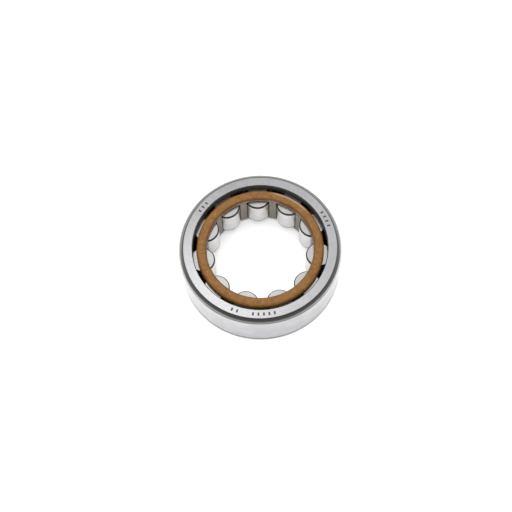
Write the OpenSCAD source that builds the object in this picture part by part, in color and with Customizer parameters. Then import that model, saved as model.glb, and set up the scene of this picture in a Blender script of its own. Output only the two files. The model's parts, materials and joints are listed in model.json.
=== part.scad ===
// Cylindrical roller bearing with no inner ring.
// An outer ring with two ribs, straight cylindrical rollers and a two-piece
// cage: a grey comb (lower side ring with bars) and a brown cover ring that
// plugs on to the bars. The shaft itself is the inner raceway.
// The axis is +Z. The origin is the centre of the lower side face.

/* [Boundary dimensions] */
// Outside diameter, the housing seat
outside_d = 47; // [46.6:0.1:49]
// Width of the outer ring
width = 14; // [13.8:0.1:16]
// Corner radius where the side faces meet the outside diameter
corner_r = 1.5; // [0.8:0.1:1.6]

/* [Rollers] */
// Number of rollers
roller_count = 11; // [8:1:11]
// Roller diameter
roller_d = 7.5; // [7:0.05:7.6]
// Roller length
roller_l = 9; // [8.4:0.1:9.1]
// Diameter of the circle that touches the inside of the rollers
envelope_d = 26.5; // [26.2:0.1:26.8]
// Edge radius of the rollers
roller_edge_r = 0.4; // [0.2:0.05:0.5]
// Radial drop of the crowned roller ends
crown_drop = 0.012; // [0.005:0.001:0.02]
// Length of each crowned end
crown_l = 1.2; // [0.8:0.1:1.6]

/* [Outer ring] */
// Bore of the two ribs
rib_bore_d = 38.8; // [38.6:0.1:39.4]
// Chamfer at the mouths of the rib bore
rib_chamfer = 0.22; // [0.1:0.02:0.3]
// Radial clearance between rollers and raceway
race_clearance = 0.02; // [0.01:0.005:0.05]
// End clearance between a roller and each rib
rib_clearance = 0.03; // [0.02:0.01:0.08]
// Radius of the grinding reliefs in the raceway corners
relief_r = 0.25; // [0.15:0.05:0.3]

/* [Cage] */
// Bore of the comb, at the inner faces of the bars
comb_bore_d = 30.6; // [30.4:0.1:31]
// Bore of the cover ring
cover_bore_d = 30.9; // [30.6:0.1:31.2]
// Outside diameter of the comb and the cover ring
cage_od = 36.7; // [36.4:0.1:37.2]
// Distance from the lower side face of the bearing to the comb
comb_inset = 1.2; // [1:0.05:1.25]
// Thickness of the comb's side ring
side_ring_t = 1.1; // [0.9:0.05:1.2]
// Distance from the upper side face of the bearing to the cover ring
cover_inset = 0.75; // [0.5:0.05:1]
// Thickness of the cover ring
cover_t = 1.45; // [1.3:0.05:1.6]
// Clearance round a roller in its pocket
pocket_clearance = 0.14; // [0.1:0.01:0.2]
// Radius of the cover ring's upper inner edge
cover_in_r = 0.65; // [0.3:0.05:0.8]
// Radius of the cover ring's upper outer edge
cover_out_r = 0.9; // [0.4:0.05:1]
// Radius of the lower edges of the comb
comb_edge_r = 0.3; // [0.15:0.05:0.5]
// Diameter of the pegs that join the bars to the cover ring
peg_d = 0.9; // [0.6:0.05:1]
// Height of the pegs
peg_h = 0.8; // [0.4:0.05:0.9]
// Diameter of the small moulding gate marks on the cover ring
gate_d = 0.5; // [0.3:0.05:0.6]
// Height of the moulding gate marks
gate_h = 0.05; // [0.02:0.01:0.08]

/* [Side face marks] */
// Depth of the plain etched blocks
mark_depth = 0.06; // [0.03:0.01:0.1]
// Width of a block
mark_w = 0.5; // [0.3:0.05:0.7]
// Radial length of a block
mark_l = 0.95; // [0.6:0.05:1.1]
// Angle between neighbouring blocks
mark_step = 4.2; // [3:0.1:5]

/* [Hidden] */
$fn = 96;
ring_fn = 192; // large turned surfaces
edge_fn = 48;  // rounded edges in the sections

function roller_name(i) = str("roller_", i < 10 ? "0" : "", i);

overcut = 1;   // how far a cutter runs past the face it opens
overlap = 0.3; // how far a joined part sinks into its base

mid_z = width / 2;
outside_r = outside_d / 2;
rib_r = rib_bore_d / 2;

roller_r = roller_d / 2;
pitch_r = envelope_d / 2 + roller_r;
roller_step = 360 / roller_count;
function roller_angle(i) = 90 + roller_step * (i - 1);

race_r = pitch_r + roller_r + race_clearance;
race_w = roller_l + 2 * rib_clearance;
relief_inset = relief_r * 0.35; // relief centre in from the raceway corner

comb_in_r = comb_bore_d / 2;
cage_out_r = cage_od / 2;
pocket_r = roller_r + pocket_clearance;
comb_floor_z = comb_inset + side_ring_t;
cover_top_z = width - cover_inset;
bar_top_z = cover_top_z - cover_t;
bar_h = bar_top_z - comb_floor_z;

peg_pcd_r = (comb_in_r + cage_out_r) / 2;
socket_side_gap = 0.01; // radial gap round a peg
socket_end_gap = 0.05;  // gap above a peg

// groups of plain blocks on the upper side face: [centre angle, count]
mark_groups = [[140.5, 3], [21.5, 4], [270.5, 5], [247.5, 2]];
// middle of the flat between the rib chamfer and the outer corner
mark_r = (rib_r + rib_chamfer + outside_r - corner_r) / 2;

// ---- shared section ----
module corner_disc(x, z, radius) {
    translate([x, z]) circle(r = radius, $fn = edge_fn);
}

// rectangle in the radius-height plane with its own radius on each corner;
// radii are inner low, outer low, outer high, inner high
module rounded_section(inner, low, outer, high, radii) {
    in_low = radii[0];
    out_low = radii[1];
    out_high = radii[2];
    in_high = radii[3];
    intersection() {
        union() {
            polygon([
                [inner + in_low, low], [outer - out_low, low],
                [outer, low + out_low], [outer, high - out_high],
                [outer - out_high, high], [inner + in_high, high],
                [inner, high - in_high], [inner, low + in_low]
            ]);
            if (in_low > 0) corner_disc(inner + in_low, low + in_low, in_low);
            if (out_low > 0) corner_disc(outer - out_low, low + out_low, out_low);
            if (out_high > 0) corner_disc(outer - out_high, high - out_high, out_high);
            if (in_high > 0) corner_disc(inner + in_high, high - in_high, in_high);
        }
        translate([inner, low]) square([outer - inner, high - low]);
    }
}

// ---- outer ring ----
module ring_section() {
    difference() {
        rounded_section(rib_r, 0, outside_r, width, [0, corner_r, corner_r, 0]);
        // raceway between the two ribs
        translate([rib_r - overcut, mid_z - race_w / 2])
            square([race_r - rib_r + overcut, race_w]);
        // grinding reliefs
        for (side = [-1, 1])
            translate([race_r - relief_inset, mid_z + side * (race_w / 2 - relief_inset)])
                circle(r = relief_r, $fn = 32);
        // chamfers at both mouths of the rib bore
        for (z = [0, width])
            translate([rib_r, z]) rotate(45)
                square(rib_chamfer * sqrt(2), center = true);
    }
}

// cutter for one block, half of it above the upper side face
module etched_block(angle) {
    rotate(angle) translate([mark_r, 0, width])
        cube([mark_l, mark_w, 2 * mark_depth], center = true);
}

module outer_ring() {
    color("gainsboro") difference() {
        rotate_extrude($fn = ring_fn) ring_section();
        for (group = mark_groups, k = [0:group[1] - 1])
            etched_block(group[0] + (k - (group[1] - 1) / 2) * mark_step);
    }
}

// ---- rollers ----
// half section about mid length, tapering slightly towards both ends
module roller_section() {
    half_l = roller_l / 2;
    edge_z = half_l - roller_edge_r;
    crown_z = edge_z - crown_l;
    end_r = roller_r - crown_drop;
    face_r = end_r - roller_edge_r;
    intersection() {
        union() {
            polygon([
                [0, -half_l], [face_r, -half_l], [end_r, -edge_z], [roller_r, -crown_z],
                [roller_r, crown_z], [end_r, edge_z], [face_r, half_l], [0, half_l]
            ]);
            for (side = [-1, 1])
                corner_disc(face_r, side * edge_z, roller_edge_r);
        }
        // nothing on the far side of the axis
        translate([0, -half_l]) square([roller_r + overcut, roller_l]);
    }
}

module roller(i) {
    color("whitesmoke")
        rotate(roller_angle(i)) translate([pitch_r, 0, mid_z])
            rotate_extrude($fn = 96) roller_section();
}

// ---- cage ----
// puts its children at height z on every bar, midway between two rollers
module at_bars(z) {
    for (i = [1:roller_count])
        rotate(roller_angle(i) + roller_step / 2)
            translate([peg_pcd_r, 0, z]) children();
}

// a tube, cut into bars by the roller pockets
module bars() {
    cutter_z = comb_floor_z - overcut;
    cutter_h = bar_h + 2 * overcut;
    difference() {
        translate([0, 0, comb_floor_z])
            cylinder(r = cage_out_r, h = bar_h, $fn = ring_fn);
        translate([0, 0, cutter_z])
            cylinder(r = comb_in_r, h = cutter_h, $fn = ring_fn);
        for (i = [1:roller_count])
            rotate(roller_angle(i)) translate([pitch_r, 0, cutter_z])
                cylinder(r = pocket_r, h = cutter_h, $fn = 96);
    }
}

module cage_comb() {
    color("dimgray") union() {
        // side ring
        rotate_extrude($fn = ring_fn)
            rounded_section(comb_in_r, comb_inset, cage_out_r, comb_floor_z,
                            [comb_edge_r, comb_edge_r, 0, 0]);
        bars();
        // pegs
        at_bars(bar_top_z - overlap)
            cylinder(d = peg_d, h = peg_h + overlap, $fn = 32);
    }
}

module cage_cover_ring() {
    color("peru") difference() {
        union() {
            rotate_extrude($fn = ring_fn)
                rounded_section(cover_bore_d / 2, bar_top_z, cage_out_r, cover_top_z,
                                [0, 0, cover_out_r, cover_in_r]);
            // gate marks stand just proud of the upper face
            at_bars(cover_top_z - overlap)
                cylinder(d = gate_d, h = gate_h + overlap, $fn = 24);
        }
        // blind sockets for the pegs
        at_bars(bar_top_z - overcut)
            cylinder(r = peg_d / 2 + socket_side_gap,
                     h = peg_h + socket_end_gap + overcut, $fn = 32);
    }
}

outer_ring();
cage_comb();
cage_cover_ring();
for (i = [1:roller_count])
    roller(i);
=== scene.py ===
"""Looks for a cylindrical roller bearing: outer ring, rollers and a two-part cage.

The bearing lies flat on a pale floor, its axis along Z through the origin and its lower
face at z = 0. Each CAD piece is rebuilt as a fine mesh with a procedural material. The
camera looks down from the -Y side. Sizes are in mm unless noted; meshes are in metres.
"""

import json
import math

import bmesh
import bpy
import numpy as np
from mathutils import Matrix, Vector

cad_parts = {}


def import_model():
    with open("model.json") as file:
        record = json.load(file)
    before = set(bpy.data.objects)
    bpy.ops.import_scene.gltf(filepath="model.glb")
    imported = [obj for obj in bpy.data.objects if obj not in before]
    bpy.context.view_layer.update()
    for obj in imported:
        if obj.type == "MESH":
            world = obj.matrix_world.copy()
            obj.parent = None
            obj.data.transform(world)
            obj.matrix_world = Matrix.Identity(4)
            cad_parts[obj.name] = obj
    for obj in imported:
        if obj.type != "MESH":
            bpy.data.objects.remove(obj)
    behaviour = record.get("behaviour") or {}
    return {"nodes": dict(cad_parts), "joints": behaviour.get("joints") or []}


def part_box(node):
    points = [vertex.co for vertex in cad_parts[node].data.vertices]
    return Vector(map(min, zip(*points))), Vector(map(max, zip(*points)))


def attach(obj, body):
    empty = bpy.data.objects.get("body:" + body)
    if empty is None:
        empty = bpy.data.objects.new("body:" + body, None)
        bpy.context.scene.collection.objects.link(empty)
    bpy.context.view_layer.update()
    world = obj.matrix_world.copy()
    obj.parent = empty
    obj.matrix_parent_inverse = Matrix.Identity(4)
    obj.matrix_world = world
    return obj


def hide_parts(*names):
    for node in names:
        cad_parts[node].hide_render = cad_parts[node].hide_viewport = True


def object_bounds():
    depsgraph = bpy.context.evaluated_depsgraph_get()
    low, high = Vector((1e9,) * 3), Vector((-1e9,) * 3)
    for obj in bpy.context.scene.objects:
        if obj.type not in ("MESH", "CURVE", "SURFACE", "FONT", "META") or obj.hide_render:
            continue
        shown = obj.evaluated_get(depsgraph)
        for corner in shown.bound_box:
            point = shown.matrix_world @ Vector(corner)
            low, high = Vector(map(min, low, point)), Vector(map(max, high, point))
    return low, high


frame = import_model()
CAD_LO, CAD_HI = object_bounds()
NODES = frame["nodes"]
JOINTS = {joint["name"]: joint for joint in frame["joints"]}
MM = 0.001
TAU = 2 * math.pi


# ---------------------------------------------------------------- sizes
def radii_and_heights(name):
    """Radius and height of every CAD vertex of a node."""
    mesh = NODES[name].data
    coords = np.zeros(len(mesh.vertices) * 3, np.float32)
    mesh.vertices.foreach_get("co", coords)
    coords = coords.reshape(-1, 3).astype(float) * 1000
    return np.hypot(coords[:, 0], coords[:, 1]), coords[:, 2]


ring_r, ring_z = radii_and_heights("outer_ring")
comb_r, comb_z = radii_and_heights("cage_comb")
cover_r, cover_z = radii_and_heights("cage_cover_ring")
roller_lo, roller_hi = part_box("roller_01")

ROLLERS = sum(1 for name in NODES if name.startswith("roller_"))
SPACING = TAU / ROLLERS                 # angle from one roller to the next
PITCH_R = JOINTS["roller_01_spin"]["pos_m"][1] * 1000
ROLLER_R = float(roller_hi.x - roller_lo.x) * 500
ROLLER_L = float(roller_hi.z - roller_lo.z) * 1000

# outer ring
OUTER_R = min(float(ring_r.max()),
              *(abs(float(v)) / MM for v in (CAD_LO[0], CAD_LO[1], CAD_HI[0], CAD_HI[1])))
WIDTH = float(ring_z.max())
MID = WIDTH / 2
RIB_R = float(ring_r.min())             # bore of the ribs above and below the raceway
RIB_CHAMFER = 0.22
RACE_R = float(ring_r[np.abs(ring_z - MID) < ROLLER_L / 2 - 0.2].min())
RACE_HALF = ROLLER_L / 2 + 0.03         # half the raceway's height
CORNER_R = 1.5
FACE_IN = RIB_R + RIB_CHAMFER           # radii that bound the flat side faces
FACE_OUT = OUTER_R - CORNER_R

# sunk marks on the upper side face: bars that point along the radius
MARK_R = (FACE_IN + OUTER_R - CORNER_R) / 2
MARK_L, MARK_W, MARK_DEPTH = 0.95, 0.5, 0.06
MARK_STEP = 4.2                         # degrees from bar to bar
# centre of the group in degrees, number of bars
MARK_GROUPS = [(140.5, 3), (21.5, 4), (270.5, 5), (247.5, 2)]

# cage
COMB_IN, COMB_OUT = float(comb_r.min()), float(comb_r.max())
COMB_LO = float(comb_z.min())
COMB_FLOOR = COMB_LO + 1.1              # bottom of the pockets
POCKET_R = ROLLER_R + 0.14
COVER_IN, COVER_OUT = float(cover_r.min()), float(cover_r.max())
COVER_LO = float(cover_z.min())
COVER_HI = float(cover_z.max()) - 0.05  # flat top, below the raised nibs
COVER_IN_ROUND, COVER_OUT_ROUND = 0.65, 0.9
PEG_PITCH_R = (COMB_IN + COVER_OUT) / 2
PEG_R, PEG_H, PEG_BEVEL = 0.45, 0.8, 0.06
PEG_HOLE_R, PEG_HOLE_GAP = 0.46, 0.05
PEG_PLACES = [(PEG_PITCH_R * math.cos(angle), PEG_PITCH_R * math.sin(angle))
              for angle in (math.pi / 2 + SPACING * (k + 0.5) for k in range(ROLLERS))]
NIB_R, NIB_SLOPE, NIB_H = 0.27, 0.09, 0.048
CAGE_SHARP = 36.0                       # degrees


# ---------------------------------------------------------------- mesh helpers
def rounded(points, closed):
    """A profile through (radius, height, corner radius, corner segments) points, as
    (radius, height) pairs. Corners become arcs, and straight runs get support points
    close to each end."""
    count = len(points)
    corners = []
    for k, (radius, z, bend, segments) in enumerate(points):
        here = np.array((radius, z))
        if bend <= 0 or (not closed and k in (0, count - 1)):
            corners.append([here])
            continue
        back = np.array(points[k - 1][:2]) - here
        ahead = np.array(points[(k + 1) % count][:2]) - here
        back, ahead = back / np.linalg.norm(back), ahead / np.linalg.norm(ahead)
        half = math.acos(max(-1, min(1, float(back @ ahead)))) / 2
        cut = bend / math.tan(half)
        middle = (back + ahead) / np.linalg.norm(back + ahead)
        centre = here + middle * (bend / math.sin(half))
        first, last = here + back * cut - centre, here + ahead * cut - centre
        start, stop = math.atan2(first[1], first[0]), math.atan2(last[1], last[0])
        turn = (stop - start + math.pi) % TAU - math.pi
        arc = [start + turn * i / segments for i in range(segments + 1)]
        corners.append([centre + bend * np.array((math.cos(a), math.sin(a))) for a in arc])
    line = []
    for k in range(count):
        line.extend(corners[k])
        if not closed and k == count - 1:
            break
        start, stop = corners[k][-1], corners[(k + 1) % count][0]
        run = np.linalg.norm(stop - start)
        if run > 0.12:
            inset = min(0.03, run / 5)
            near, far = inset / run, 1 - inset / run
            mids = max(0, int(run / 0.9))
            between = [near + (far - near) * (i + 1) / (mids + 1) for i in range(mids)]
            line.extend(start + (stop - start) * part for part in [near] + between + [far])
    return [tuple(float(c) for c in point) for point in line]


def shade_smooth(mesh, sharp=32.0):
    """Smooth shading, with edges steeper than sharp degrees kept crisp."""
    mesh.polygons.foreach_set("use_smooth", [True] * len(mesh.polygons))
    mesh.set_sharp_from_angle(angle=math.radians(sharp))
    mesh.update()


def new_mesh(name, verts, faces):
    mesh = bpy.data.meshes.new(name)
    mesh.from_pydata([tuple(c * MM for c in vert) for vert in verts], [], faces)
    mesh.validate()
    shade_smooth(mesh)
    return mesh


def link_object(name, data):
    obj = bpy.data.objects.new(name, data)
    bpy.context.scene.collection.objects.link(obj)
    return obj


def revolve(line, angles):
    """Vertices and quads of a closed profile turned about Z to each angle, in radians."""
    rows, columns = len(line), len(angles)
    verts = [(radius * math.cos(a), radius * math.sin(a), z)
             for a in angles for radius, z in line]
    faces = []
    for j in range(columns):
        k = (j + 1) % columns
        for i in range(rows):
            n = (i + 1) % rows
            faces.append((j * rows + i, k * rows + i, k * rows + n, j * rows + n))
    return verts, faces


def apply_modifiers(obj):
    bpy.context.view_layer.update()
    graph = bpy.context.evaluated_depsgraph_get()
    mesh = bpy.data.meshes.new_from_object(obj.evaluated_get(graph))
    obj.modifiers.clear()
    old = obj.data
    obj.data = mesh
    mesh.name = obj.name
    bpy.data.meshes.remove(old)


def weld(obj):
    """Joins vertices that all but touch and shuts hairline gaps."""
    bm = bmesh.new()
    bm.from_mesh(obj.data)
    bmesh.ops.remove_doubles(bm, verts=bm.verts, dist=0.002 * MM)
    bmesh.ops.dissolve_degenerate(bm, edges=bm.edges, dist=0.0002 * MM)
    short = [e for e in bm.edges if e.is_boundary and e.calc_length() < 0.05 * MM]
    bmesh.ops.collapse(bm, edges=short)
    bm.to_mesh(obj.data)
    bm.free()


def boolean(obj, parts, operation):
    """Adds or cuts closed shapes, each given as (vertices, faces)."""
    verts, faces = [], []
    for part_verts, part_faces in parts:
        base = len(verts)
        verts += part_verts
        faces += [tuple(base + i for i in face) for face in part_faces]
    tool = link_object("tool", new_mesh("tool", verts, faces))
    mod = obj.modifiers.new("cut", "BOOLEAN")
    mod.operation, mod.solver, mod.object = operation, "EXACT", tool
    apply_modifiers(obj)
    mesh = tool.data
    bpy.data.objects.remove(tool)
    bpy.data.meshes.remove(mesh)


def pin(x, y, bottom, top, radius, bevel=0.0):
    """A closed upright cylinder, with an optional small bevel round its top."""
    segments = 32
    line = [(radius, bottom), (radius, top - bevel)]
    if bevel:
        line += [(radius - bevel * 0.3, top - bevel * 0.3), (radius - bevel, top)]
    # turned a little, so that no vertex lines up with the cage's own
    turns = [TAU * j / segments + 0.05 for j in range(segments)]
    verts = [(x + reach * math.cos(turn), y + reach * math.sin(turn), z)
             for reach, z in line for turn in turns]
    faces = []
    for i in range(len(line) - 1):
        low, high = i * segments, (i + 1) * segments
        for j in range(segments):
            k = (j + 1) % segments
            faces.append((low + j, low + k, high + k, high + j))
    faces.append(tuple(range(segments))[::-1])
    last = (len(line) - 1) * segments
    faces.append(tuple(last + j for j in range(segments)))
    return verts, faces


# ---------------------------------------------------------------- outer ring
def relief(level, side):
    """The undercut where the raceway meets a rib at a level; side is 1 above, -1 below."""
    bend = 0.25
    inset = bend * 0.35
    reach = math.sqrt(bend ** 2 - inset ** 2)
    centre_r, centre_z = RACE_R - inset, level - side * inset
    start, stop = math.atan2(inset, -reach), math.atan2(-reach, inset)
    arc = [start + (stop - start) * i / 10 for i in range(11)]
    points = [(centre_r + bend * math.cos(a), centre_z + side * bend * math.sin(a), 0, 0)
              for a in arc]
    return points[::side]


def ring_profile():
    """The ring's section, and the index of the circle at the marks' outer ends."""
    race_top, race_bottom = MID + RACE_HALF, MID - RACE_HALF
    edge = 0.045
    points = [
        (FACE_IN, 0, edge, 3),
        (OUTER_R, 0, CORNER_R, 22),
        (OUTER_R, WIDTH, CORNER_R, 22),
        (FACE_IN, WIDTH, edge, 3),
        (RIB_R, WIDTH - RIB_CHAMFER, edge, 3),
        (RIB_R, race_top, 0.08, 4),
        *relief(race_top, 1),
        *relief(race_bottom, -1),
        (RIB_R, race_bottom, 0.08, 4),
        (RIB_R, RIB_CHAMFER, edge, 3),
    ]
    line = rounded(points, True)
    # two extra circles on the upper face bound the row of marks
    mark_out, mark_in = MARK_R + MARK_L / 2, MARK_R - MARK_L / 2
    top = [i for i, (_, z) in enumerate(line) if abs(z - WIDTH) < 1e-6]
    outside = [line[i] for i in top if line[i][0] > mark_out + 0.05]
    inside = [line[i] for i in top if line[i][0] < mark_in - 0.05]
    face = outside + [(mark_out, WIDTH), (mark_in, WIDTH)] + inside
    line = line[:top[0]] + face + line[top[-1] + 1:]
    return line, line.index((mark_out, WIDTH))


def build_ring():
    line, row = ring_profile()
    marks = []
    half = MARK_W / 2 / MARK_R
    for centre, count in MARK_GROUPS:
        for k in range(count):
            middle = math.radians(centre + (k - (count - 1) / 2) * MARK_STEP)
            marks.append((middle - half, middle + half))
    # an even division with the marks' edges worked in
    edges = sorted(a % TAU for mark in marks for a in mark)
    even = [TAU * j / 480 for j in range(480)]
    angles = sorted(edges + [a for a in even if all(abs(a - b) > 0.004 for b in edges)])
    verts, faces = revolve(line, angles)

    def column(angle):
        return min(range(len(angles)), key=lambda j: abs(angles[j] - angle % TAU))

    def outer(j):
        return j * len(line) + row

    def inner(j):
        return j * len(line) + row + 1

    dug = set()
    for start, stop in marks:
        first, last = column(start), column(stop)
        low_out, low_in = {}, {}
        for j in range(first, last + 1):
            for low, index in ((low_out, outer(j)), (low_in, inner(j))):
                x, y, z = verts[index]
                low[j] = len(verts)
                verts.append((x, y, z - MARK_DEPTH))
        for j in range(first, last):
            k = j + 1
            dug.add((outer(j), outer(k), inner(k), inner(j)))
            faces.append((low_out[j], low_out[k], low_in[k], low_in[j]))
            faces.append((outer(j), outer(k), low_out[k], low_out[j]))
            faces.append((low_in[j], low_in[k], inner(k), inner(j)))
        faces.append((inner(first), outer(first), low_out[first], low_in[first]))
        faces.append((outer(last), inner(last), low_in[last], low_out[last]))
    faces = [face for face in faces if face not in dug]
    name = "outer_ring_visual"
    return link_object(name, new_mesh(name, verts, faces))


# ---------------------------------------------------------------- rollers
def build_roller_mesh():
    """One roller about its own centre; the side falls away slightly near the ends."""
    half, edge, crown, crown_l = ROLLER_L / 2, 0.4, 0.012, 1.2
    radius = ROLLER_R - crown
    end = [(reach, -half) for reach in (0.6, 1.2, 1.8, 2.4, 2.9, 3.2, radius - edge - 0.03)]
    end += [(radius - edge + edge * math.sin(a), -half + edge - edge * math.cos(a))
            for a in np.linspace(0, math.pi / 2, 13)]
    straight = half - edge
    side = []
    for z in np.concatenate([np.linspace(-straight + 0.04, -straight + 1.2, 7),
                             np.linspace(-straight + 1.6, straight - 1.6, 9),
                             np.linspace(straight - 1.2, straight - 0.04, 7)]):
        part = max(0.0, (abs(z) - (straight - crown_l)) / crown_l)
        side.append((ROLLER_R - crown * part * part, float(z)))
    line = end + side + [(reach, -z) for reach, z in end][::-1]

    segments = 144
    verts = [(0.0, 0.0, -half)]
    for reach, z in line:
        verts += [(reach * math.cos(TAU * j / segments), reach * math.sin(TAU * j / segments), z)
                  for j in range(segments)]
    verts.append((0.0, 0.0, half))
    faces = []
    last = 1 + (len(line) - 1) * segments
    for j in range(segments):
        k = (j + 1) % segments
        faces.append((0, 1 + k, 1 + j))
        for i in range(len(line) - 1):
            low, high = 1 + i * segments, 1 + (i + 1) * segments
            faces.append((low + j, low + k, high + k, high + j))
        faces.append((last + j, last + k, len(verts) - 1))
    return new_mesh("roller", verts, faces)


# ---------------------------------------------------------------- cage
def pocket_half(radius):
    """Half the angle that a pocket takes up at a radius."""
    return math.acos((PITCH_R ** 2 + radius ** 2 - POCKET_R ** 2) / (2 * PITCH_R * radius))


def build_comb():
    """The lower cage part: a floor ring with a bar between each pair of rollers, and a
    peg on top of each bar."""
    pocket_steps, bar_steps, radial_steps, rise_steps = 24, 10, 14, 16
    per_roller = pocket_steps + bar_steps
    columns = per_roller * ROLLERS
    radii = [COMB_IN + (COMB_OUT - COMB_IN) * i / radial_steps for i in range(radial_steps + 1)]
    levels = [COMB_FLOOR + (COVER_LO - COMB_FLOOR) * k / rise_steps
              for k in range(rise_steps + 1)]
    edge = 0.3
    low = rounded([(COMB_IN, COMB_FLOOR, 0, 0), (COMB_IN, COMB_LO, edge, 8),
                   (COMB_OUT, COMB_LO, edge, 8), (COMB_OUT, COMB_FLOOR, 0, 0)], False)
    verts, index, faces = [], {}, []

    def column_angle(j, radius):
        k, part = divmod(j, per_roller)
        middle, half = math.pi / 2 + SPACING * k, pocket_half(radius)
        if part <= pocket_steps:
            return middle + half * (2 * part / pocket_steps - 1)
        return middle + half + (SPACING - 2 * half) * (part - pocket_steps) / bar_steps

    def vert(key, j, radius, z):
        if key not in index:
            angle = column_angle(j % columns, radius)
            index[key] = len(verts)
            verts.append((radius * math.cos(angle), radius * math.sin(angle), z))
        return index[key]

    def grid(j, i, k):
        return vert((j % columns, i, k), j, radii[i], levels[k])

    def lower(j, i):
        if i == 0:
            return grid(j, 0, 0)
        if i == len(low) - 1:
            return grid(j, radial_steps, 0)
        return vert(("low", j % columns, i), j, *low[i])

    def flat(j, k):
        for i in range(radial_steps):
            faces.append((grid(j, i + 1, k), grid(j + 1, i + 1, k),
                          grid(j + 1, i, k), grid(j, i, k)))

    def pocket_wall(j, order):
        for i in range(radial_steps):
            for k in range(rise_steps):
                face = (grid(j, i, k), grid(j, i + 1, k), grid(j, i + 1, k + 1), grid(j, i, k + 1))
                faces.append(face[::order])

    for j in range(columns):
        for i in range(len(low) - 1):
            faces.append((lower(j, i), lower(j + 1, i), lower(j + 1, i + 1), lower(j, i + 1)))
        part = j % per_roller
        if part < pocket_steps:
            flat(j, 0)
            continue
        flat(j, rise_steps)
        out = radial_steps
        for k in range(rise_steps):
            faces.append((grid(j, 0, k + 1), grid(j + 1, 0, k + 1),
                          grid(j + 1, 0, k), grid(j, 0, k)))
            faces.append((grid(j, out, k), grid(j + 1, out, k),
                          grid(j + 1, out, k + 1), grid(j, out, k + 1)))
        if part == pocket_steps:
            pocket_wall(j, 1)
        if part == per_roller - 1:
            pocket_wall(j + 1, -1)

    name = "cage_comb_visual"
    obj = link_object(name, new_mesh(name, verts, faces))
    mod = obj.modifiers.new("edges", "BEVEL")
    mod.width, mod.segments = 0.11 * MM, 3
    mod.limit_method, mod.angle_limit = "ANGLE", math.radians(38)
    mod.harden_normals = False
    apply_modifiers(obj)
    weld(obj)
    boolean(obj, [pin(x, y, COVER_LO - 0.3, COVER_LO + PEG_H, PEG_R, PEG_BEVEL)
                  for x, y in PEG_PLACES], "UNION")
    weld(obj)
    shade_smooth(obj.data, CAGE_SHARP)
    return obj


def build_cover():
    """The upper cage part: a flat ring, holed from below for the pegs, with a small
    raised nib over each hole."""
    line = rounded([(COVER_IN, COVER_LO, 0.05, 3), (COVER_OUT, COVER_LO, 0.05, 3),
                    (COVER_OUT, COVER_HI, COVER_OUT_ROUND, 18),
                    (COVER_IN, COVER_HI, COVER_IN_ROUND, 16)], True)
    top = [i for i, (_, z) in enumerate(line) if abs(z - COVER_HI) < 1e-6]
    outer, inner = line[top[0]][0], line[top[-1]][0]
    # the top face gets closer circles and columns where the nibs stand
    rows = [outer, outer - 0.03]
    radius = outer - 0.15
    while radius > inner + 0.1:
        rows.append(radius)
        radius -= 0.055 if abs(radius - PEG_PITCH_R) < 0.36 else 0.14
    rows += [inner + 0.03, inner]
    line = line[:top[0]] + [(row, COVER_HI) for row in rows] + line[top[-1] + 1:]
    centre = SPACING / 2
    fine = [centre + math.radians(0.16) * i for i in range(-9, 10)]
    coarse = [SPACING * i / 44 for i in range(44)]
    local = sorted([a for a in coarse if abs(a - centre) > math.radians(1.55)] + fine)
    angles = [math.pi / 2 + SPACING * k + a for k in range(ROLLERS) for a in local]
    verts, faces = revolve(line, angles)

    shaped = []
    for x, y, z in verts:
        if z > COVER_HI - 1e-6:
            away = min(math.hypot(x - peg_x, y - peg_y) for peg_x, peg_y in PEG_PLACES)
            rise = max(0.0, min(1.0, (NIB_R - away) / NIB_SLOPE))
            z += NIB_H * rise * rise * (3 - 2 * rise)
        shaped.append((x, y, z))
    name = "cage_cover_ring_visual"
    obj = link_object(name, new_mesh(name, shaped, faces))
    boolean(obj, [pin(x, y, COVER_LO - 0.5, COVER_LO + PEG_H + PEG_HOLE_GAP, PEG_HOLE_R)
                  for x, y in PEG_PLACES], "DIFFERENCE")
    shade_smooth(obj.data, CAGE_SHARP)
    return obj


# ---------------------------------------------------------------- shader helpers
class Value:
    """The output of a shader node. Arithmetic on it adds math nodes, left to right."""

    def __init__(self, tree, socket):
        self.tree, self.socket = tree, socket

    def __add__(self, other):
        return calc("ADD", self, other)

    def __radd__(self, other):
        return calc("ADD", other, self)

    def __sub__(self, other):
        return calc("SUBTRACT", self, other)

    def __rsub__(self, other):
        return calc("SUBTRACT", other, self)

    def __mul__(self, other):
        return calc("MULTIPLY", self, other)

    def __truediv__(self, other):
        return calc("DIVIDE", self, other)

    def __abs__(self):
        return calc("ABSOLUTE", self)

    def step(self, start, end, low=0.0, high=1.0):
        """Smooth change from low to high as the value goes from start to end."""
        inputs = {"Value": self, "From Min": start, "From Max": end,
                  "To Min": low, "To Max": high}
        return add_value(self.tree, "ShaderNodeMapRange", inputs, "Result",
                         interpolation_type="SMOOTHSTEP")

    def spread(self, low, high):
        """Even change from low to high as the value goes from 0 to 1."""
        return add_value(self.tree, "ShaderNodeMapRange",
                         {"Value": self, "To Min": low, "To Max": high}, "Result")

    def noise(self, scale, detail, roughness, dimensions="3D"):
        place = "W" if dimensions == "1D" else "Vector"
        inputs = {"Scale": scale, "Detail": detail, "Roughness": roughness, place: self}
        return add_value(self.tree, "ShaderNodeTexNoise", inputs, "Fac",
                         noise_dimensions=dimensions)

    def bands(self, scale, detail, roughness):
        """Noise that varies with this one number only."""
        return self.noise(scale, detail, roughness, "1D")


def add_node(tree, kind, inputs=None, **props):
    node = tree.nodes.new(kind)
    for key, item in props.items():
        setattr(node, key, item)
    for key, item in (inputs or {}).items():
        if isinstance(item, Value):
            tree.links.new(item.socket, node.inputs[key])
        else:
            node.inputs[key].default_value = item
    return node


def add_value(tree, kind, inputs=None, output=0, **props):
    return Value(tree, add_node(tree, kind, inputs, **props).outputs[output])


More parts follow.
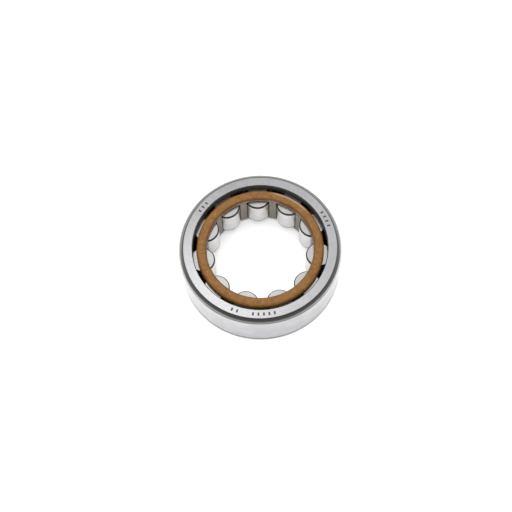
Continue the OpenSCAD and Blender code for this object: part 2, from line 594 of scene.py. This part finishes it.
def calc(operation, *terms):
    tree = next(term.tree for term in terms if isinstance(term, Value))
    return add_value(tree, "ShaderNodeMath", dict(enumerate(terms)), operation=operation)


def mix(factor, base, over):
    """Colour that goes from base to over as factor goes from 0 to 1."""
    def rgba(colour):
        if isinstance(colour, Value):
            return colour
        if isinstance(colour, float):
            colour = (colour,) * 3
        return (*colour, 1.0)

    # inputs 6 and 7 and output 2 are the node's colour sockets
    return add_value(factor.tree, "ShaderNodeMix", {0: factor, 6: rgba(base), 7: rgba(over)}, 2,
                     data_type="RGBA", clamp_factor=True)


def xyz(x, y, z):
    return add_value(x.tree, "ShaderNodeCombineXYZ", {"X": x, "Y": y, "Z": z})


def position(tree):
    """Object position in mm: x, y, z and the distance from the Z axis."""
    coords = add_value(tree, "ShaderNodeTexCoord", output="Object")
    split = add_node(tree, "ShaderNodeSeparateXYZ", {"Vector": coords})
    x, y, z = (Value(tree, output) * 1000.0 for output in split.outputs)
    return x, y, z, calc("SQRT", x * x + y * y)


def distance(x, y, centre):
    across, along = x - centre[0], y - centre[1]
    return calc("SQRT", across * across + along * along)


def new_material(name):
    made = bpy.data.materials.new(name)
    made.use_nodes = True
    made.node_tree.nodes.clear()
    return made, made.node_tree


def bump(height, strength, distance):
    """Normal from a height; distance is in metres."""
    return add_value(height.tree, "ShaderNodeBump",
                     {"Strength": strength, "Distance": distance, "Height": height})


def principled(colour, metallic, roughness, normal, extra=None):
    inputs = {"Base Color": colour, "Metallic": metallic, "Roughness": roughness,
              "Normal": normal, **(extra or {})}
    shader = add_value(colour.tree, "ShaderNodeBsdfPrincipled", inputs)
    add_node(colour.tree, "ShaderNodeOutputMaterial", {"Surface": shader})


# ---------------------------------------------------------------- materials
def ring_material():
    """Ground steel with darker corners, painted shade on the rib bores and grey marks."""
    steel, tree = new_material("ring_steel")
    x, y, z, radius = position(tree)
    pos = xyz(x, y, z)
    level = abs(z - MID)

    # masks: rounded corner, side face, inner surfaces, raceway, marks
    corner = calc("MINIMUM", radius - FACE_OUT, level - (MID - CORNER_R))
    steep = (radius - FACE_OUT) / CORNER_R
    corner = corner.step(start=0.0, end=0.08) * steep.step(start=0.999, end=0.955)
    side = (level.step(start=MID - 0.02, end=MID - 0.005)
            * radius.step(start=FACE_OUT + 0.1, end=FACE_OUT))
    inside = radius.step(start=FACE_IN, end=FACE_IN - 0.03)
    inner = calc("MAXIMUM", inside, radius.step(start=RACE_R + 0.4, end=RACE_R + 0.3)
                 * level.step(start=RACE_HALF + 0.35, end=RACE_HALF + 0.3))
    race = (radius.step(start=RACE_R - 0.05, end=RACE_R - 0.02)
            * level.step(start=RACE_HALF - 0.35, end=RACE_HALF - 0.4))
    mark = (z.step(start=WIDTH - 0.02, end=WIDTH - 0.045)
            * radius.step(start=FACE_OUT + 0.02, end=FACE_OUT - 0.02))
    mark = mark * (radius.step(start=FACE_IN + 0.1, end=FACE_IN + 0.2)
                   * z.step(start=WIDTH - 0.3, end=WIDTH - 0.2))

    # grinding: rings on the side faces, crossed by faint arcs; rings round the seat
    rings = radius.bands(scale=9.0, detail=5.0, roughness=0.62)
    wobble = pos.noise(scale=0.35, detail=2.0, roughness=0.55)
    arcs_a = (distance(x, y, centre=(61.0, 24.0)) + wobble * 0.6).bands(
        scale=7.0, detail=4.0, roughness=0.6)
    arcs_b = (distance(x, y, centre=(-38.0, 52.0)) + wobble * 0.6).bands(
        scale=6.0, detail=4.0, roughness=0.6)
    scuff = pos.noise(scale=1.7, detail=5.0, roughness=0.75)
    face_grain = rings * 0.3 + (arcs_a + arcs_b) * 0.22 + scuff * 0.26
    seat_grain = xyz(x * 0.03, y * 0.03, z * 9.0).noise(scale=1.0, detail=5.0, roughness=0.6)
    turned = xyz(x * 0.05, y * 0.05, (z + radius) * 7.0).noise(
        scale=1.0, detail=3.0, roughness=0.5)
    grain = mix(corner, mix(side, seat_grain, face_grain), turned)
    blotch = pos.noise(scale=0.22, detail=3.0, roughness=0.6)
    fine = pos.noise(scale=9.0, detail=4.0, roughness=0.7)

    ground_dull, ground_bright, ground_line = (0.59, 0.59, 0.605), (0.66, 0.66, 0.67), (0.42, 0.42, 0.44)
    seat_dull, seat_bright = (0.44, 0.44, 0.455), (0.51, 0.51, 0.52)
    oxide_dark, oxide_light, oxide_lip = (0.40, 0.40, 0.395), (0.50, 0.50, 0.49), (0.14, 0.14, 0.14)
    # the first of these colours is painted shade for the rib bores; the second is the marks' own grey
    inner_painted_shade, mark_grey = (0.175, 0.175, 0.17), (0.09, 0.09, 0.09)
    ground = mix(blotch.step(start=0.35, end=0.7), ground_dull, ground_bright)
    ground = mix(grain.step(start=0.38, end=0.68, low=0.0, high=0.42), ground, ground_line)
    oxide = mix(fine.step(start=0.3, end=0.7), oxide_dark, oxide_light)
    seat = (radius.step(start=OUTER_R - 0.06, end=OUTER_R - 0.02)
            * level.step(start=MID - CORNER_R + 0.02, end=MID - CORNER_R - 0.03))
    ground = mix(seat * 0.75, ground,
                 mix(blotch.step(start=0.35, end=0.7), seat_dull, seat_bright))
    lip = radius.step(start=FACE_OUT + 0.50, end=FACE_OUT + 0.10)
    oxide = mix(lip * 0.75, oxide, oxide_lip)
    colour = mix(corner, ground, oxide)
    # painted shade: the rib bores, their chamfers and undercuts are darkened, the raceway left as it is
    colour = mix(inner * (1.0 - race), colour, inner_painted_shade)
    colour = mix(mark, colour, mark_grey)

    # a base roughness and what each grain or mask adds to it
    bore = inner * (1.0 - race) * radius.step(start=RIB_R + 0.06, end=RIB_R + 0.03)
    rough = (0.19 + (grain - 0.5) * 0.18 + (blotch - 0.5) * 0.10 + side * -0.03
             + corner * 0.03 + race * -0.12 + mark * 0.3 + bore * 0.34)
    normal = bump(grain * 0.8 + fine * 0.25, strength=side.spread(low=0.14, high=0.22),
                  distance=0.00003)
    tangent = add_value(tree, "ShaderNodeTangent", direction_type="RADIAL", axis="Z")
    brushed = calc("MAXIMUM", side * 0.5, radius.step(start=OUTER_R - 0.03, end=OUTER_R - 0.01))
    principled(colour, metallic=1.0 - mark * 0.6 - bore * 0.25, roughness=rough, normal=normal,
               extra={"Tangent": tangent, "Anisotropic": brushed * 0.6})
    return steel


def roller_material():
    """Bright steel with edges darkened partly by painted shade, varied from roller to roller."""
    steel, tree = new_material("roller_steel")
    x, y, z, radius = position(tree)
    seed = add_value(tree, "ShaderNodeObjectInfo", output="Random")
    shift = seed * 37.0
    level = abs(z)
    half = ROLLER_L / 2
    edge = calc("MINIMUM", radius - (ROLLER_R - 0.34), level - (half - 0.66))
    edge = edge.step(start=0.0, end=0.05)
    end = level.step(start=half - 0.02, end=half - 0.005)

    # grain: rings round the side; arcs about a random centre and rings on the ends
    pos = xyz(x + shift, y, z)
    around = xyz(x * 0.05, y * 0.05, z * 8.0 + shift).noise(scale=1.0, detail=5.0, roughness=0.6)
    spin = seed * TAU
    arc_centre = (calc("COSINE", spin) * 24.0, calc("SINE", spin) * 24.0)
    arcs = distance(x, y, arc_centre).bands(scale=8.0, detail=4.0, roughness=0.6)
    rings = (radius + shift).bands(scale=6.0, detail=3.0, roughness=0.6)
    grain = mix(end, around, arcs * 0.6 + rings * 0.4)
    blotch = pos.noise(scale=0.5, detail=3.0, roughness=0.6)
    fine = pos.noise(scale=12.0, detail=3.0, roughness=0.6)

    dull, bright, line = (0.62, 0.61, 0.605), (0.69, 0.675, 0.665), (0.46, 0.46, 0.47)
    # these two edge colours are painted shade
    edge_shade_dark, edge_shade_light = (0.075, 0.075, 0.075), (0.12, 0.12, 0.12)
    colour = mix(blotch.step(start=0.3, end=0.7), dull, bright)
    colour = mix(grain.spread(low=0.0, high=0.2), colour, line)
    # a rougher edge finish, darkened to near black with painted shade on the rounded edges and a thin band
    # of the side beside them
    colour = mix(edge, colour, mix(fine.step(start=0.3, end=0.7), edge_shade_dark, edge_shade_light))
    rough = 0.17 + (grain - 0.5) * 0.16 + end * 0.05 + edge * 0.16 + (blotch - 0.5) * 0.06
    principled(colour, metallic=1.0 - end * 0.10, roughness=rough,
               normal=bump(grain * 0.8 + fine * 0.2, strength=0.12, distance=0.00002))
    return steel


def comb_material():
    """Warm grey, streaked along Z, with pale lower edges."""
    grey, tree = new_material("cage_grey")
    x, y, z, radius = position(tree)
    pos = xyz(x, y, z)
    drawn = xyz(x * 5.0, y * 5.0, z * 0.25).noise(scale=1.0, detail=4.0, roughness=0.6)
    blotch = pos.noise(scale=0.45, detail=4.0, roughness=0.6)
    fine = pos.noise(scale=14.0, detail=4.0, roughness=0.7)

    dark, light, streak = (0.222, 0.194, 0.160), (0.282, 0.250, 0.208), (0.155, 0.138, 0.12)
    fleck, worn = (0.42, 0.41, 0.40), (0.5, 0.49, 0.48)
    colour = mix(blotch.step(start=0.3, end=0.7), dark, light)
    colour = mix(drawn.spread(low=0.0, high=0.35), colour, streak)
    colour = mix(fine.step(start=0.55, end=0.75, low=0.0, high=0.4), colour, fleck)
    lip = calc("MAXIMUM", radius.step(start=COMB_IN + 0.24, end=COMB_IN + 0.12),
               radius.step(start=COMB_OUT - 0.24, end=COMB_OUT - 0.12))
    lip = lip * z.step(start=COMB_LO + 0.24, end=COMB_LO + 0.12)
    colour = mix(lip * fine.step(start=0.42, end=0.60, low=0.1, high=0.7), colour, worn)
    principled(colour, metallic=0.55,
               roughness=0.42 + (fine - 0.5) * 0.2 + (blotch - 0.5) * 0.15,
               normal=bump(drawn * 0.5 + fine * 0.5, strength=0.2, distance=0.00005))
    return grey


def cover_material():
    """Mottled brown, with paler nibs, painted shade on the bore wall, a painted reflection along the lower
    inner rim and a painted glint on a stretch of the outer edge.
    """
    brown, tree = new_material("cage_brown")
    x, y, z, radius = position(tree)
    angle = calc("ARCTAN2", y, x)
    pos = xyz(x, y, z)
    flow = xyz(x * 0.5, y * 0.5, radius * 2.2).noise(scale=1.0, detail=4.0, roughness=0.55)
    mottle = pos.noise(scale=1.1, detail=5.0, roughness=0.7)
    broad = pos.noise(scale=0.16, detail=2.0, roughness=0.5)
    fine = pos.noise(scale=10.0, detail=5.0, roughness=0.75)
    speck = pos.noise(scale=22.0, detail=2.0, roughness=0.5)

    mottle_dark, mottle_light = (0.136, 0.056, 0.0075), (0.238, 0.108, 0.0185)
    broad_brown, flow_brown, fine_brown = (0.205, 0.094, 0.020), (0.225, 0.104, 0.019), (0.120, 0.052, 0.009)
    # the second and third colours here are painted shade for the bore wall and a painted reflection for the
    # lower inner rim
    speck_tan, inner_painted_shade, rim_painted_highlight = (0.40, 0.26, 0.13), (0.080, 0.034, 0.005), (0.62, 0.50, 0.42)
    # the second colour here is a painted glint for the outer edge
    nib_tan, glint_pale = (0.30, 0.165, 0.065), (0.40, 0.30, 0.215)
    colour = mix(mottle.step(start=0.34, end=0.64), mottle_dark, mottle_light)
    colour = mix(broad.step(start=0.40, end=0.62, low=0.0, high=0.5), colour, broad_brown)
    colour = mix(flow.step(start=0.4, end=0.75, low=0.0, high=0.45), colour, flow_brown)
    colour = mix(fine.step(start=0.5, end=0.8, low=0.0, high=0.5), colour, fine_brown)
    colour = mix(speck.step(start=0.70, end=0.78, low=0.0, high=0.5), colour, speck_tan)
    # painted shade: the bore wall and its rounding are darkened
    inner = radius.step(start=COVER_IN + 0.60, end=COVER_IN + 0.35)
    colour = mix(inner * 0.30, colour, inner_painted_shade)
    # painted reflection: a pale line along the lower inner rim, standing for the floor reflected in that
    # edge
    lower_rim_highlight = (z.step(start=COVER_LO + 0.50, end=COVER_LO + 0.36)
           * radius.step(start=COVER_IN + 0.12, end=COVER_IN + 0.05))
    colour = mix(lower_rim_highlight * 0.9, colour, rim_painted_highlight)
    colour = mix(z.step(start=COVER_HI + 0.012, end=COVER_HI + 0.035), colour, nib_tan)
    # painted highlight: a pale glint along the outer edge, centred on an angle of 0.99 radians
    painted_glint = (radius.step(start=COVER_OUT - 1.00, end=COVER_OUT - 0.86)
           * radius.step(start=COVER_OUT - 0.30, end=COVER_OUT - 0.48)
           * abs(angle - 0.99).step(start=0.44, end=0.22))
    painted_glint = painted_glint * (z.step(start=MID, end=COVER_LO + 0.5)
                 * fine.step(start=0.36, end=0.52, low=0.45, high=1.0))
    colour = mix(painted_glint * 0.70, colour, glint_pale)
    principled(colour, metallic=0.0,
               roughness=0.36 + (fine - 0.5) * 0.30 + (mottle - 0.5) * 0.15,
               normal=bump(fine * 0.6 + mottle * 1.0, strength=0.45, distance=0.00008),
               extra={"IOR": 1.5, "Specular IOR Level": 0.5})
    return brown


# ---------------------------------------------------------------- build and place
def hand_over(obj, body, piece):
    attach(obj, body)
    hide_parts(piece)


ring_look, roller_look = ring_material(), roller_material()
comb_look, cover_look = comb_material(), cover_material()

for build, look, body, piece, slot in (
        (build_ring, ring_look, "outer_ring", "outer_ring", "ring_steel"),
        (build_comb, comb_look, "cage", "cage_comb", "cage_grey"),
        (build_cover, cover_look, "cage", "cage_cover_ring", "cage_brown")):
    obj = build()
    obj.data.materials.clear()
    obj.data.materials.append(look)
    hand_over(obj, body, piece)

roller_mesh = build_roller_mesh()
roller_mesh.materials.append(roller_look)
ROLLER_TURN = 2.399963                  # radians, the golden angle, so that no two look alike
for i in range(1, ROLLERS + 1):
    body = f"roller_{i:02d}"
    obj = link_object(body + "_visual", roller_mesh)
    obj.location = JOINTS[body + "_spin"]["pos_m"]
    obj.rotation_euler = (0, 0, ROLLER_TURN * i)
    hand_over(obj, body, body)


# ---------------------------------------------------------------- stage
def floor():
    """A pale floor that glows a little, and looks darker in reflections on the -Y side."""
    half = 3.0  # metres
    mesh = bpy.data.meshes.new("floor")
    mesh.from_pydata([(-half, -half, 0), (half, -half, 0), (half, half, 0), (-half, half, 0)],
                     [], [(0, 1, 2, 3)])
    obj = link_object("floor", mesh)
    look, tree = new_material("floor_white")
    x, y, z, radius = position(tree)
    rays = add_node(tree, "ShaderNodeLightPath")
    camera_ray = Value(tree, rays.outputs["Is Camera Ray"])
    glossy_ray = Value(tree, rays.outputs["Is Glossy Ray"])
    white = xyz(x, y, z).noise(scale=0.6, detail=3.0, roughness=0.6).spread(low=0.84, high=0.88)
    turn = abs(calc("ARCTAN2", y, x) + math.pi / 2)  # angle away from -Y
    front = (radius.step(start=29.5, end=44.0)
             * turn.step(start=math.radians(85), end=math.radians(40))
             * radius.step(start=170.0, end=70.0))
    dim = front * glossy_ray
    white = white * (1.0 - dim * 0.69)
    # painted shadow: a thin dark line where the ring meets the floor
    painted_contact_shadow = (radius.step(start=OUTER_R + 0.05, end=OUTER_R - 0.2)
               * radius.step(start=OUTER_R - 0.7, end=OUTER_R - 0.5))
    white = white * (1.0 - painted_contact_shadow * 0.45)
    base = add_value(tree, "ShaderNodeBsdfDiffuse",
                     {"Color": xyz(white, white, white), "Roughness": 0.3})
    # no glow under the bearing
    clear = calc("MAXIMUM", radius.step(start=16.6, end=15.2),
                 radius.step(start=OUTER_R - 0.3, end=OUTER_R + 0.35))
    strength = (camera_ray * 0.42 + (glossy_ray - dim) * 0.30) * clear
    glow = add_value(tree, "ShaderNodeEmission", {"Color": (1, 1, 1, 1), "Strength": strength})
    both = add_value(tree, "ShaderNodeAddShader", {0: base, 1: glow})
    add_node(tree, "ShaderNodeOutputMaterial", {"Surface": both})
    mesh.materials.append(look)


def world():
    """The studio that the steel reflects: a bright panel high on the +Y side, dark
    overhead, mid grey low down. Camera rays see a plain backdrop."""
    studio = bpy.data.worlds.new("studio")
    bpy.context.scene.world = studio
    studio.use_nodes = True
    tree = studio.node_tree
    tree.nodes.clear()
    coords = add_value(tree, "ShaderNodeTexCoord", output="Generated")
    ray = add_value(tree, "ShaderNodeVectorMath", {0: coords}, operation="NORMALIZE")
    split = add_node(tree, "ShaderNodeSeparateXYZ", {"Vector": ray})
    ray_x, ray_y, ray_z = (Value(tree, output) for output in split.outputs)

    def spot(direction, near, far):
        """A round spot, full within near degrees of a direction and gone at far."""
        dot = add_value(tree, "ShaderNodeVectorMath",
                        {0: ray, 1: tuple(Vector(direction).normalized())}, "Value",
                        operation="DOT_PRODUCT")
        return dot.step(start=math.cos(math.radians(far)), end=math.cos(math.radians(near)))

    # degrees up from +Y, over the top, towards -Y
    rise = calc("ARCTAN2", ray_z, ray_y) * (180 / math.pi)
    panel = (rise.step(start=54.0, end=61.0) * rise.step(start=77.5, end=73.5)
             * abs(ray_x + 0.02).step(start=0.42, end=0.20)
             * rise.step(start=61.0, end=71.0, low=0.285, high=0.53))
    lamp = spot((-0.046, 0.366, 0.929), near=1.0, far=5.5) * 1.15
    halo = spot((0.07, 0.44, 0.89), near=2.0, far=8.0) * 0.27
    level = rise.step(start=48.0, end=59.0, low=0.75, high=0.24)
    # darker low down towards -X and +X
    low_sides = (abs(ray_x).step(start=0.3, end=0.5) * ray_z.step(start=0.38, end=0.26)
                 * rise.step(start=75.0, end=60.0))
    level = (level * (1.0 - low_sides * 0.5)
             * rise.step(start=84.0, end=75.0, low=0.55, high=1.0)
             + rise.step(start=146.0, end=166.0, low=0.0, high=0.28)
             + abs(ray_x).step(start=0.45, end=0.8, low=0.0, high=0.10))
    # brighter low down to either side on the -Y half
    near_sides = abs(ray_x).step(start=0.50, end=0.66) * ray_y.step(start=-0.05, end=-0.35)
    level = level + near_sides * ray_z.step(start=0.36, end=0.24, low=0.0, high=0.25)
    level = level + panel + lamp + halo
    rays = add_node(tree, "ShaderNodeLightPath")
    level = mix(Value(tree, rays.outputs["Is Diffuse Ray"]), level, over=0.85)
    level = mix(Value(tree, rays.outputs["Is Camera Ray"]), level, over=0.97)
    sky = add_value(tree, "ShaderNodeBackground", {"Color": level, "Strength": 1.0})
    add_node(tree, "ShaderNodeOutputWorld", {"Surface": sky})


def fill_light():
    """A soft square light overhead, aimed at the origin and unseen in reflections."""
    data = bpy.data.lights.new("fill_top", "AREA")
    data.shape, data.size, data.size_y, data.energy = "RECTANGLE", 0.7, 0.7, 3.1
    obj = link_object("fill_top", data)
    obj.location = (-0.05, 0.10, 0.55)
    aim = Vector((0, 0, 0)) - Vector((-0.05, 0.10, 0.55))
    obj.rotation_euler = aim.to_track_quat("-Z", "Y").to_euler()
    obj.visible_glossy = False


def camera():
    tilt, roll = math.radians(66.41), math.radians(-2.6335)  # tilt is below the horizon
    place = Vector((-1.149, -114.376, 254.391 + WIDTH)) * MM
    data = bpy.data.cameras.new("camera")
    data.lens, data.sensor_width = 68.484375, 36.0
    data.shift_x, data.shift_y = -0.0009765625, 0.0009765625
    data.clip_start, data.clip_end = 0.01, 20
    obj = link_object("camera", data)
    look = Vector((0, math.cos(tilt), -math.sin(tilt)))
    right, up = Vector((1, 0, 0)), Vector((0, math.sin(tilt), math.cos(tilt)))
    right, up = (math.cos(roll) * right + math.sin(roll) * up,
                 -math.sin(roll) * right + math.cos(roll) * up)
    obj.matrix_world = Matrix((*zip(right, up, -look, place), (0, 0, 0, 1)))
    bpy.context.scene.camera = obj


floor()
world()
fill_light()
camera()
bpy.context.scene.view_settings.view_transform = "Standard"
bpy.context.scene.view_settings.look = "None"
